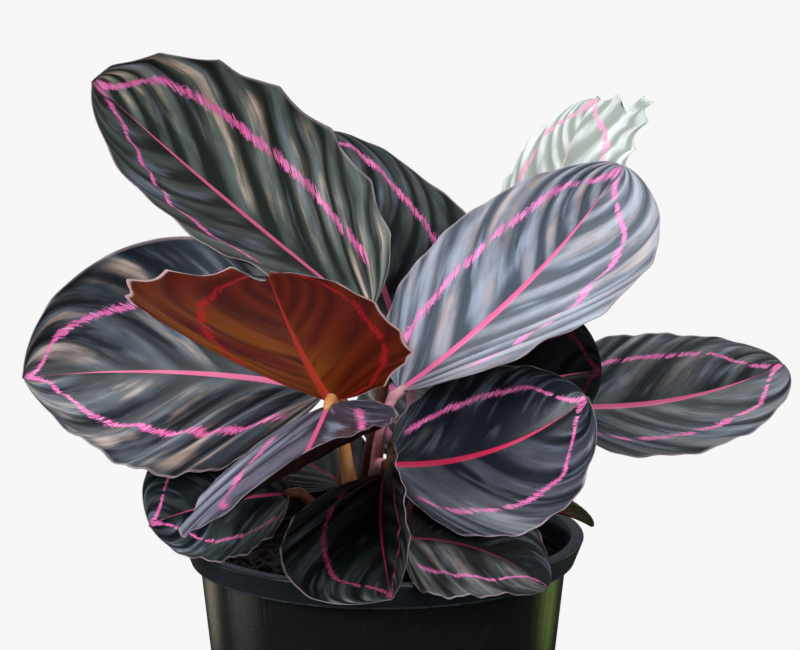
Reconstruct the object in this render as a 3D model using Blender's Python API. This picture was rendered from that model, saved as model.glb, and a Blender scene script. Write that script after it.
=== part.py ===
"""Potted calathea: a rosette of patterned leaves in a round nursery pot.

Metres and degrees, +Z up. The origin is the centre of the pot's base, on the
surface that the pot stands on. -Y is the side that the plant is shown from.
Each leaf is a blade and a petiole, two objects that meet at the blade's base.
"""

import math
from dataclasses import dataclass

import bmesh
import bpy
import numpy as np

# Pot
POT_HEIGHT = 0.136
RIM_RADIUS = 0.085
RIM_DEPTH = 0.0107
SKIRT_TAPER = 0.0035
LIP_WIDTH = 0.0055
LIP_THICKNESS = 0.004
LIP_ROUND = 0.0008
SKIRT_THICKNESS = 0.0018
BODY_TOP_RADIUS = 0.0787
BASE_RADIUS = 0.0647
BASE_ROUND = 0.002
WALL = 0.0016
FLOOR = 0.002
POT_SEGMENTS = 48

# Soil
SOIL_DROP = 0.011
SOIL_TOP = POT_HEIGHT - SOIL_DROP
SOCKET_DEPTH = 0.010
SOCKET_CLEARANCE = 0.0005

# Leaves
BLADE_THICKNESS = 0.0009
BLADE_ROWS = 12
BLADE_COLUMNS = 7
BASE_HALF_WIDTH = 0.0015
TIP_HALF_WIDTH = 0.0006
CREST_POWER = 8
PETIOLE_FOOT_RADIUS = 0.0026
PETIOLE_HEAD_RADIUS = 0.0015
PULVINUS = 0.004
PETIOLE_POINTS = 9
HEAD_GAP = 0.0007

GAP = 0.0003


@dataclass(frozen=True)
class Leaf:
    """One leaf, as its blade grows from its base to its tip.

    base is where the petiole meets the blade, and stem is where the petiole
    leaves the soil. heading is the compass direction of the midrib seen from
    above, 0 along +X and 90 along +Y. rise lifts the midrib at the base, and
    arch is how much that angle changes by the tip. sweep turns the heading by
    the tip. roll tips the blade about its midrib, left side up, and twist adds
    to it by the tip. left and right are the half widths, seen from the base.
    fold raises a half at the midrib, and curl adds to it by the margin. lean
    under 1 puts the widest place nearer the base, and a lower fullness gives
    blunter ends. crest_right widens the right half at the tip.
    """

    name: str
    base: tuple
    stem: tuple
    heading: float
    rise: float
    length: float
    left: float
    right: float
    arch: float = -35
    sweep: float = 0
    roll: float = 0
    twist: float = 0
    fold_left: float = 8
    fold_right: float = 8
    curl_left: float = -6
    curl_right: float = -6
    lean: float = 0.85
    fullness: float = 0.55
    crest_right: float = 0.0
    colour: str = "leaf_dark"


LEAVES = [
    Leaf("high_left", base=(-0.006, 0.021, 0.225), stem=(-0.011, 0.022),
         heading=189, rise=39, arch=4, sweep=19, roll=-13, twist=-49,
         length=0.155, left=0.075, right=0.058,
         fold_left=11, fold_right=4, curl_left=10, curl_right=30, lean=0.64, fullness=0.52),
    Leaf("high_back", base=(0.011, 0.073, 0.188), stem=(0.004, 0.027),
         heading=136, rise=72, arch=-8, sweep=39, roll=-25, twist=11,
         length=0.119, left=0.058, right=0.063,
         fold_left=12, fold_right=12, curl_right=-3, lean=0.65, fullness=0.53),
    Leaf("wide_left", base=(-0.024, 0.009, 0.195), stem=(-0.020, 0.014),
         heading=167, rise=9, arch=-13, sweep=27, roll=-36, twist=11,
         length=0.130, left=0.064, right=0.066, fold_left=4, fold_right=-11,
         curl_left=-3, curl_right=34, lean=1.05, fullness=0.67),
    Leaf("turned", base=(-0.022, -0.005, 0.193), stem=(-0.010, 0.000),
         heading=-101, rise=28, arch=7, sweep=3, roll=6, twist=9,
         length=0.130, left=0.038, right=0.075, fold_left=17, fold_right=14,
         curl_left=-14, curl_right=12, fullness=0.62, colour="leaf_underside"),
    Leaf("folded_front", base=(-0.022, -0.031, 0.196), stem=(-0.012, -0.012),
         heading=-107, rise=-30, arch=61, sweep=25, roll=24, twist=7,
         length=0.105, left=0.040, right=0.053,
         fold_left=1, fold_right=5, curl_left=-2, curl_right=-7),
    Leaf("high_right", base=(0.008, -0.007, 0.198), stem=(-0.004, -0.005),
         heading=31, rise=28, arch=8, sweep=25, roll=18, twist=18,
         length=0.163, left=0.043, right=0.0555, fold_left=13, fold_right=21,
         curl_left=-3, curl_right=7, lean=0.77, fullness=0.72),
    Leaf("front_right", base=(0.003, -0.036, 0.173), stem=(0.007, -0.016),
         heading=16, rise=-7, arch=50, sweep=-22, roll=52, twist=5,
         length=0.088, left=0.041, right=0.045, fold_left=-3, fold_right=3,
         curl_left=-9, curl_right=17, lean=1.0),
    Leaf("far_right", base=(0.079, 0.045, 0.181), stem=(0.019, 0.006),
         heading=11, rise=-6, arch=26, sweep=13, roll=40, twist=-3,
         length=0.110, left=0.038, right=0.038, fold_left=9, fold_right=11,
         curl_left=-5, curl_right=4, lean=0.71),
    Leaf("pale_back", base=(0.073, 0.102, 0.206), stem=(0.016, 0.022),
         heading=30, rise=96, arch=-42, roll=15,
         length=0.113, left=0.046, right=0.038, crest_right=0.022, fold_left=0, fold_right=3,
         curl_left=-18, curl_right=-10, lean=0.90, colour="leaf_pale"),
    Leaf("shaded_right", base=(0.038, 0.029, 0.183), stem=(0.011, 0.013),
         heading=-8, rise=30, arch=-24, sweep=-2, roll=46,
         length=0.060, left=0.041, right=0.038, fold_left=11,
         curl_left=-1, curl_right=-5),
    Leaf("low_left", base=(-0.039, -0.020, 0.157), stem=(-0.022, -0.008),
         heading=182, rise=-3, arch=-15, sweep=15, roll=-35, twist=-6,
         length=0.059, left=0.039, right=0.037, fold_left=7, fold_right=7,
         curl_left=11, curl_right=-1, lean=0.93, fullness=0.50),
    Leaf("low_front", base=(0.001, -0.051, 0.173), stem=(-0.007, -0.028),
         heading=-100, rise=-32, arch=-16, sweep=29, roll=45, twist=5,
         length=0.060, left=0.038, right=0.041, fold_left=28, fold_right=23,
         curl_left=7, curl_right=3, lean=0.92, fullness=0.44),
    Leaf("low_right", base=(0.010, -0.059, 0.148), stem=(0.004, -0.033),
         heading=-7, rise=3, arch=-40, sweep=-4, roll=31, twist=-24,
         length=0.060, left=0.034, right=0.037, fold_right=7,
         curl_left=-1, curl_right=-2, lean=0.79),
    Leaf("back_left", base=(-0.017, 0.046, 0.145), stem=(-0.014, 0.030),
         heading=138, rise=16, arch=-15, roll=-8, length=0.105, left=0.038, right=0.038),
    Leaf("back_centre", base=(0.018, 0.058, 0.152), stem=(0.016, 0.036),
         heading=77, rise=38, arch=-30, length=0.098, left=0.038, right=0.038),
    Leaf("back_right", base=(0.062, 0.062, 0.162), stem=(0.024, 0.018),
         heading=38, rise=18, arch=-25, roll=10, length=0.100, left=0.034, right=0.034),
    Leaf("sprig", base=(0.050, -0.018, 0.150), stem=(0.018, -0.010),
         heading=2, rise=10, arch=-45, sweep=10, length=0.040, left=0.006, right=0.006,
         fold_left=55, fold_right=55, curl_left=10, curl_right=10, lean=0.9,
         fullness=0.6, colour="leaf_young"),
]

# Name: base colour, roughness
COLOURS = {
    "pot_plastic": ((0.012, 0.014, 0.017), 0.35),
    "potting_soil": ((0.020, 0.014, 0.010), 0.95),
    "leaf_dark": ((0.020, 0.035, 0.045), 0.35),
    "leaf_underside": ((0.250, 0.055, 0.020), 0.45),
    "leaf_pale": ((0.560, 0.640, 0.520), 0.45),
    "leaf_young": ((0.150, 0.220, 0.060), 0.45),
    "petiole_red": ((0.330, 0.080, 0.060), 0.45),
}


def clear_scene():
    """Removes the objects that the scene starts with."""
    for obj in list(bpy.data.objects):
        bpy.data.objects.remove(obj)


def material(name):
    """The Principled material of that name, made when it is first asked for."""
    if name in bpy.data.materials:
        return bpy.data.materials[name]
    colour, roughness = COLOURS[name]
    mat = bpy.data.materials.new(name)
    mat.use_nodes = True
    shader = mat.node_tree.nodes["Principled BSDF"]
    shader.inputs["Base Color"].default_value = (*colour, 1)
    shader.inputs["Roughness"].default_value = roughness
    shader.inputs["Metallic"].default_value = 0
    return mat


def add_object(name, data, colour, parent, location=(0, 0, 0)):
    """Links a new object with its material and its parent."""
    obj = bpy.data.objects.new(name, data)
    bpy.context.scene.collection.objects.link(obj)
    data.materials.append(material(colour))
    obj.parent = parent
    obj.location = location
    return obj


def add_empty(name):
    """An empty that the sub-parts hang on."""
    empty = bpy.data.objects.new(name, None)
    bpy.context.scene.collection.objects.link(empty)
    return empty


def body_radius(z, inset=0.0):
    """Radius of the pot's tapered wall at height z, less the inset."""
    taper = (BODY_TOP_RADIUS - BASE_RADIUS) / POT_HEIGHT
    return BASE_RADIUS + taper * z - inset


def rounded_corner(centre, radius, start, end, steps=4):
    """Points (r, z) of an arc about the centre, from angle start to end."""
    angles = np.radians(np.linspace(start, end, steps))
    return [(centre[0] + radius * math.cos(a), centre[1] + radius * math.sin(a)) for a in angles]


def pot_profile():
    """Points (r, z) of the pot's section: up its inside and down its outside."""
    inner_top = POT_HEIGHT - LIP_THICKNESS - WALL / 2
    skirt_inner = RIM_RADIUS - SKIRT_THICKNESS
    groove_top = POT_HEIGHT - LIP_THICKNESS
    skirt_foot = POT_HEIGHT - RIM_DEPTH
    inside = [
        (0, FLOOR),
        (body_radius(FLOOR, WALL), FLOOR),
        (body_radius(inner_top, WALL), inner_top),
        (RIM_RADIUS - LIP_WIDTH, POT_HEIGHT),
    ]
    lip = rounded_corner((RIM_RADIUS - LIP_ROUND, POT_HEIGHT - LIP_ROUND), LIP_ROUND, 90, 0)
    skirt = [
        (RIM_RADIUS - SKIRT_TAPER, skirt_foot),
        (skirt_inner - SKIRT_TAPER, skirt_foot),
        (skirt_inner, groove_top),
        (body_radius(groove_top), groove_top),
    ]
    corner = rounded_corner((BASE_RADIUS - BASE_ROUND, BASE_ROUND), BASE_ROUND, 0, -90)
    return inside + lip + skirt + corner + [(0, 0)]


def build_pot(parent):
    """The nursery pot, its section turned about the vertical axis."""
    profile = pot_profile()
    mesh = bpy.data.meshes.new("nursery_pot")
    edges = [(i, i + 1) for i in range(len(profile) - 1)]
    mesh.from_pydata([(r, 0, z) for r, z in profile], edges, [])
    pot = add_object("nursery_pot", mesh, "pot_plastic", parent)
    screw = pot.modifiers.new("turn", "SCREW")
    screw.axis = "Z"
    screw.steps = POT_SEGMENTS
    screw.render_steps = POT_SEGMENTS
    screw.use_merge_vertices = True
    screw.merge_threshold = 0.00001
    screw.use_smooth_shade = True
    return pot


def build_socket_cutter(parent):
    """One upright cylinder for each petiole's foot, cut from the soil."""
    mesh = bpy.data.meshes.new("socket_cutter")
    bm = bmesh.new()
    radius = PETIOLE_FOOT_RADIUS + SOCKET_CLEARANCE
    for leaf in LEAVES:
        made = bmesh.ops.create_cone(
            bm, cap_ends=True, segments=10, radius1=radius, radius2=radius, depth=2 * (SOCKET_DEPTH + GAP)
        )
        bmesh.ops.translate(bm, verts=made["verts"], vec=(*leaf.stem, SOIL_TOP))
    bm.to_mesh(mesh)
    bm.free()
    cutter = add_object("socket_cutter", mesh, "potting_soil", parent)
    cutter.hide_render = True
    cutter.display_type = "WIRE"
    return cutter


def build_soil(parent):
    """The soil that fills the pot, with a socket for each petiole's foot."""
    bottom = FLOOR + GAP
    height = SOIL_TOP - bottom
    mesh = bpy.data.meshes.new("soil")
    bm = bmesh.new()
    bmesh.ops.create_cone(
        bm,
        cap_ends=True,
        segments=POT_SEGMENTS,
        radius1=body_radius(bottom, WALL + GAP),
        radius2=body_radius(SOIL_TOP, WALL + GAP),
        depth=height,
    )
    bmesh.ops.translate(bm, verts=bm.verts, vec=(0, 0, height / 2))
    bm.to_mesh(mesh)
    bm.free()
    soil = add_object("soil", mesh, "potting_soil", parent, location=(0, 0, bottom))
    sockets = soil.modifiers.new("sockets", "BOOLEAN")
    sockets.operation = "DIFFERENCE"
    sockets.object = build_socket_cutter(parent)
    return soil


def half_width(leaf, t, limit, crest):
    """Half width of the blade at the fractions t of its length."""
    s = np.clip(t, 0, 1) ** leaf.lean
    ends = BASE_HALF_WIDTH * (1 - t) + TIP_HALF_WIDTH * t + crest * t**CREST_POWER
    return limit * (4 * s * (1 - s)) ** leaf.fullness + ends


def blade_points(leaf):
    """Points of the blade's middle surface, as rows along it by columns across it.

    The base is at the origin and the midrib sets off above +X.
    """
    t = (1 - np.cos(np.pi * np.linspace(0, 1, BLADE_ROWS))) / 2
    azimuth = np.radians(leaf.sweep) * t
    pitch = np.radians(leaf.rise + leaf.arch * t)
    flat = np.cos(pitch)
    forward = np.stack([flat * np.cos(azimuth), flat * np.sin(azimuth), np.sin(pitch)], axis=-1)
    steps = np.diff(t)[:, None] * (forward[1:] + forward[:-1]) / 2
    midrib = leaf.length * np.vstack([np.zeros(3), np.cumsum(steps, axis=0)])
    level = np.stack([-np.sin(azimuth), np.cos(azimuth), np.zeros(BLADE_ROWS)], axis=-1)
    upright = np.cross(forward, level)
    turn = np.radians(leaf.roll + leaf.twist * t)[:, None]
    side = np.cos(turn) * level + np.sin(turn) * upright
    up = np.cos(turn) * upright - np.sin(turn) * level

    across = np.linspace(-1, 1, BLADE_COLUMNS)
    columns = []
    for v in across:
        limit, crest, fold, curl = (
            (leaf.left, 0, leaf.fold_left, leaf.curl_left)
            if v > 0
            else (leaf.right, leaf.crest_right, leaf.fold_right, leaf.curl_right)
        )
        reach = v * half_width(leaf, t, limit, crest)[:, None]
        lift = np.radians(fold + curl * abs(v))
        columns.append(midrib + reach * np.cos(lift) * side + np.abs(reach) * np.sin(lift) * up)
    return np.stack(columns, axis=1)


def build_blade(leaf, parent):
    """The blade: a sheet on the leaf's surface, thickened to both sides."""
    points = blade_points(leaf).reshape(-1, 3)
    index = np.arange(len(points)).reshape(BLADE_ROWS, BLADE_COLUMNS)
    corners = [index[:-1, :-1], index[1:, :-1], index[1:, 1:], index[:-1, 1:]]
    faces = np.stack(corners, axis=-1).reshape(-1, 4)
    mesh = bpy.data.meshes.new("blade_" + leaf.name)
    mesh.from_pydata(points.tolist(), [], faces.tolist())
    mesh.shade_smooth()
    blade = add_object("blade_" + leaf.name, mesh, leaf.colour, parent, leaf.base)
    blade.rotation_euler.z = math.radians(leaf.heading)
    solidify = blade.modifiers.new("thickness", "SOLIDIFY")
    solidify.thickness = BLADE_THICKNESS
    solidify.offset = 0
    return blade


def petiole_points(leaf):
    """Points of the petiole's centre line, from the bottom of its socket to the blade."""
    heading = math.radians(leaf.heading)
    rise = math.radians(leaf.rise)
    forward = np.array(
        [math.cos(rise) * math.cos(heading), math.cos(rise) * math.sin(heading), math.sin(rise)]
    )
    foot = np.array([*leaf.stem, SOIL_TOP])
    head = np.array(leaf.base) - HEAD_GAP * forward
    knee = head - PULVINUS * forward
    reach = np.linalg.norm(knee - foot)
    lean_in = 0.15 * forward + np.array([0, 0, 0.12])
    guides = [foot, foot + np.array([0, 0, 0.4 * reach]), knee - reach * lean_in, knee]
    t = np.linspace(0, 1, PETIOLE_POINTS)[:, None]
    weights = [(1 - t) ** 3, 3 * (1 - t) ** 2 * t, 3 * (1 - t) * t**2, t**3]
    rising = sum(weight * guide for weight, guide in zip(weights, guides))
    return np.vstack([foot - np.array([0, 0, SOCKET_DEPTH]), rising, head])


def build_petiole(leaf, parent):
    """The petiole: a round stalk that thins towards the blade."""
    points = petiole_points(leaf)
    foot = np.array([*leaf.stem, SOIL_TOP])
    rows = np.arange(len(points))
    radii = np.interp(rows, [1, len(points) - 1], [PETIOLE_FOOT_RADIUS, PETIOLE_HEAD_RADIUS])
    curve = bpy.data.curves.new("petiole_" + leaf.name, "CURVE")
    curve.dimensions = "3D"
    curve.bevel_depth = 1
    curve.bevel_resolution = 2
    curve.use_fill_caps = True
    spline = curve.splines.new("POLY")
    spline.points.add(len(points) - 1)
    for point, place, radius in zip(spline.points, points - foot, radii):
        point.co = (*place, 1)
        point.radius = radius
    return add_object("petiole_" + leaf.name, curve, "petiole_red", parent, foot)


def main():
    """Builds the pot, the soil and each leaf."""
    clear_scene()
    pot_base = add_empty("pot_base")
    rosette = add_empty("rosette")
    rosette.parent = pot_base
    build_pot(pot_base)
    build_soil(pot_base)
    for leaf in LEAVES:
        build_blade(leaf, rosette)
        build_petiole(leaf, rosette)


main()
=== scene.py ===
"""Looks of the potted calathea: its leaves, stalks, soil and nursery pot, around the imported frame.

Metres and degrees, +Z up, in the frame's own axes. Each blade is a thin closed sheet whose surface is
a function of how far along and how far across the leaf a point lies, and its pattern is painted by
nodes that read those same two numbers from an attribute of the mesh.
"""

import logging
import math
from dataclasses import dataclass, field
from enum import Enum

import bpy
import numpy as np
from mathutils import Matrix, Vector

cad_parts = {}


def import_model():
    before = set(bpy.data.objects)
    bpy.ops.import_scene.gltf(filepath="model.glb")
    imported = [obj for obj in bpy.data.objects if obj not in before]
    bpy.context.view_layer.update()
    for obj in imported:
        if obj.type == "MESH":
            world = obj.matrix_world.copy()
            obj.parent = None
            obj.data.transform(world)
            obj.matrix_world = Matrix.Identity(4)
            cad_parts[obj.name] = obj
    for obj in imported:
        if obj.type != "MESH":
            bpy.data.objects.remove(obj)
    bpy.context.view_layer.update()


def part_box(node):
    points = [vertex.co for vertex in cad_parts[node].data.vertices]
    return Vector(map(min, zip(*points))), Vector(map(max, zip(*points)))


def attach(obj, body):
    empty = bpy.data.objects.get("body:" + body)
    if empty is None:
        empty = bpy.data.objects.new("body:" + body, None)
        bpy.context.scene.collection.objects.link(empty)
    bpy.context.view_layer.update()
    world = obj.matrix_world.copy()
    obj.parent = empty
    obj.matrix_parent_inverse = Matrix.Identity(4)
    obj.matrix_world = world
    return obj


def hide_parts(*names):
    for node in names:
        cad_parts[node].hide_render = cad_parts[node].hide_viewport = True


LOG = logging.getLogger("calathea")

Colour = tuple[float, float, float]
Place = tuple[float, float, float]
Pair = tuple[float, float]
Socket = bpy.types.NodeSocket


class Slot(Enum):
    """The record's material slots."""

    BLADE = "leaf_blade"
    PALE = "leaf_pale"
    YOUNG = "leaf_young"
    PETIOLE = "petiole"
    SOIL = "potting_soil"
    POT = "pot_plastic"


# ---------------------------------------------------------------------------------------------
# Meshes
# ---------------------------------------------------------------------------------------------


def new_mesh(name: str, points: np.ndarray, faces: list, parts: np.ndarray | None = None) -> bpy.types.Mesh:
    """Makes a smooth-shaded mesh.

    Args:
        name: the mesh's name.
        points: the corners, one row of x, y and z each.
        faces: the corner numbers of each face.
        parts: the material number of each face, or None where there is one material.

    Returns:
        The mesh.
    """
    mesh = bpy.data.meshes.new(name)
    mesh.from_pydata(points.tolist(), [], faces)
    if parts is not None:
        mesh.polygons.foreach_set("material_index", parts.astype(np.int32))
    mesh.shade_smooth()
    mesh.update()
    return mesh


def linked(name: str, data: bpy.types.ID) -> bpy.types.Object:
    """A new object in the scene, at the origin, that holds the data."""
    obj = bpy.data.objects.new(name, data)
    bpy.context.scene.collection.objects.link(obj)
    return obj


def add_piece(mesh: bpy.types.Mesh, finishes: list, nodes: list[str]) -> bpy.types.Object:
    """Links a mesh as a visible piece of the plant.

    Args:
        mesh: the finished mesh, in place.
        finishes: its materials, in the order of the faces' material numbers.
        nodes: the frame's nodes that it stands for.

    Returns:
        The piece.
    """
    piece = linked(mesh.name, mesh)
    for finish in finishes:
        mesh.materials.append(finish)
    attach(piece, "root")
    if nodes:
        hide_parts(*nodes)
    LOG.info("%s: %d faces", piece.name, len(mesh.polygons))
    return piece


def grid_faces(
    rows: int, columns: int, first: int = 0, flip: bool = False, wrap: bool = False
) -> np.ndarray:
    """Corner numbers of the quads of a grid of points.

    Args:
        rows: points along the grid.
        columns: points across it.
        first: the number of its first point.
        flip: turns the faces over.
        wrap: joins the last column to the first.

    Returns:
        One row of four corner numbers for each quad.
    """
    index = first + np.arange(rows * columns).reshape(rows, columns)
    if wrap:
        index = np.hstack([index, index[:, :1]])
    corners = [index[:-1, :-1], index[1:, :-1], index[1:, 1:], index[:-1, 1:]]
    quads = np.stack(corners, axis=-1).reshape(-1, 4)
    return quads[:, ::-1] if flip else quads


def store(mesh: bpy.types.Mesh, name: str, values: np.ndarray) -> None:
    """Stores one or three numbers at each corner of the mesh, for its finish to read."""
    kind, part = ("FLOAT", "value") if values.ndim == 1 else ("FLOAT_VECTOR", "vector")
    held = mesh.attributes.new(name, kind, "POINT")
    held.data.foreach_set(part, values.astype(np.float32).ravel())


def unit(vectors: np.ndarray) -> np.ndarray:
    """The vectors at length one."""
    return vectors / np.maximum(np.linalg.norm(vectors, axis=-1, keepdims=True), 1e-12)


def bell(distance: np.ndarray, width: float) -> np.ndarray:
    """A bell curve: one at distance zero, and e to the minus (distance / width) squared further out."""
    return np.exp(-((distance / width) ** 2))


def ease(value: np.ndarray, low: float, high: float) -> np.ndarray:
    """Zero below low, one above high and a smooth S between them."""
    share = np.clip((value - low) / (high - low), 0, 1)
    return share * share * (3 - 2 * share)


# ---------------------------------------------------------------------------------------------
# Nodes
# ---------------------------------------------------------------------------------------------


class Painter:
    """Builds one material's nodes. A number, a colour or another node's socket may feed any input."""

    def __init__(self, name: str) -> None:
        """Starts a material that holds only a Principled shader and its output."""
        self.material = bpy.data.materials.new(name)
        self.material.use_nodes = True
        self.tree = self.material.node_tree
        self.shader = self.tree.nodes["Principled BSDF"]

    def node(self, kind: str, inputs: dict | None = None, **settings: object) -> bpy.types.Node:
        """Adds a node.

        Args:
            kind: the node's type, without ShaderNode in front.
            inputs: what feeds each input, by its name or number.
            settings: the node's own settings.

        Returns:
            The node.
        """
        made = self.tree.nodes.new("ShaderNode" + kind)
        for key, value in settings.items():
            setattr(made, key, value)
        for key, value in (inputs or {}).items():
            self.feed(made.inputs[key], value)
        return made

    def feed(self, target: Socket, value: object) -> None:
        """Links a socket to an input, or sets the input to a number or a colour."""
        if isinstance(value, bpy.types.NodeSocket):
            self.tree.links.new(value, target)
        elif isinstance(value, tuple) and target.type == "RGBA":
            target.default_value = (*value, 1)
        else:
            target.default_value = value

    def set(self, name: str, value: object) -> None:
        """Feeds one of the shader's inputs."""
        self.feed(self.shader.inputs[name], value)

    def math(self, operation: str, *values: object) -> Socket:
        """One Math node."""
        return self.node("Math", dict(enumerate(values)), operation=operation).outputs[0]

    def add(self, first: object, second: object) -> Socket:
        """First plus second."""
        return self.math("ADD", first, second)

    def subtract(self, first: object, second: object) -> Socket:
        """First less second."""
        return self.math("SUBTRACT", first, second)

    def times(self, *values: object) -> Socket:
        """The product of two or more values."""
        product = values[0]
        for value in values[1:]:
            product = self.math("MULTIPLY", product, value)
        return product

    def blend_sum(self, first: Socket, weight: float, second: object) -> Socket:
        """First times weight, plus second."""
        return self.math("MULTIPLY_ADD", first, weight, second)

    def ease(self, value: Socket, low: object, high: object) -> Socket:
        """Zero below low, one above high and a smooth S between; low may be the larger."""
        inputs = {"Value": value, "From Min": low, "From Max": high}
        return self.node("MapRange", inputs, interpolation_type="SMOOTHSTEP").outputs[0]

    def mix(self, share: object, first: object, second: object) -> Socket:
        """First where share is zero, and second where it is one."""
        made = self.node("Mix", data_type="RGBA")
        self.feed(made.inputs[0], share)
        self.feed(made.inputs[6], first)
        self.feed(made.inputs[7], second)
        return made.outputs[2]

    def vector(self, x: object, y: object, z: object = 0.0) -> Socket:
        """Three numbers as a vector."""
        return self.node("CombineXYZ", {0: x, 1: y, 2: z}).outputs[0]

    def noise(self, place: Socket, scale: float = 1.0, detail: float = 2.0, rough: float = 0.5) -> Socket:
        """Soft noise from zero to one, 0.5 on average."""
        inputs = {"Vector": place, "Scale": scale, "Detail": detail, "Roughness": rough}
        return self.node("TexNoise", inputs).outputs[0]

    def cells(self, place: Socket, scale: float) -> Socket:
        """How far a point lies from the nearest of many scattered spots."""
        return self.node("TexVoronoi", {"Vector": place, "Scale": scale}).outputs["Distance"]

    def split(self, vector: Socket) -> list[Socket]:
        """The three numbers of a vector."""
        return list(self.node("SeparateXYZ", {0: vector}).outputs)

    def attribute(self, name: str) -> list[Socket]:
        """The three numbers of a vector attribute of the mesh."""
        return self.split(self.node("Attribute", attribute_name=name).outputs["Vector"])

    def number(self, name: str) -> Socket:
        """One number stored at each corner of the mesh."""
        return self.node("Attribute", attribute_name=name).outputs["Fac"]

    def place(self) -> Socket:
        """Where a point is on the piece, in metres."""
        return self.node("TexCoord").outputs["Object"]

    def bump(self, height: Socket, distance: float) -> None:
        """Roughens the shading by a height, distance metres for each unit of it."""
        inputs = {"Height": height, "Distance": distance, "Strength": 1.0}
        self.set("Normal", self.node("Bump", inputs).outputs[0])


BLADE_MAP = "along_across_reach"
PLEAT_MAP = "pleat"
VEIN_SWEEP = 0.34
VEIN_BEND = 0.16
HALF_SHIFT = 5.0


class BladePainter(Painter):
    """A painter that knows where each point lies on a blade.

    t is the share of the length, v the place across from minus one to one with the left half above
    zero, a is |v|, reach the millimetres from the midrib, and left is one on the left half. A side
    vein is the line where t - 0.34 a - 0.16 a squared stays the same. q is that number, moved by the
    seed and by the half, so that no two halves match.
    """

    def __init__(self, name: str, seed: float) -> None:
        """Starts the material and reads the blade's map."""
        super().__init__(name)
        self.t, self.v, self.reach = self.attribute(BLADE_MAP)
        self.a = self.math("ABSOLUTE", self.v)
        self.left = self.math("GREATER_THAN", self.v, 0.0)
        vein = self.subtract(self.t, self.times(self.a, self.blend_sum(self.a, VEIN_BEND, VEIN_SWEEP)))
        self.q = self.add(self.blend_sum(self.left, HALF_SHIFT, seed), vein)

    def half(self, pair: Pair) -> Socket:
        """The pair's first number on the left half of the blade, and its second on the right."""
        return self.blend_sum(self.left, pair[0] - pair[1], pair[1])

    def veins(
        self, along: float, across: float, layer: float = 0.0, detail: float = 2.0, rough: float = 0.5
    ) -> Socket:
        """Noise drawn out along the side veins: it changes fast with q and slowly with a."""
        place = self.vector(self.times(self.q, along), self.times(self.a, across), layer)
        return self.noise(place, detail=detail, rough=rough)

    def steps(self, scale: float, layer: float, detail: float = 1.0, rough: float = 0.5) -> Socket:
        """Noise that changes with q only, so that it stays the same along a side vein."""
        return self.noise(self.vector(self.times(self.q, scale), layer), detail=detail, rough=rough)


# ---------------------------------------------------------------------------------------------
# Finishes
# ---------------------------------------------------------------------------------------------

SPECK = (0.6, 0.6, 0.6)
NARROWEST_HALF = 9.0
SOFT_BORDER = (-0.008, 0.012)


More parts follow.
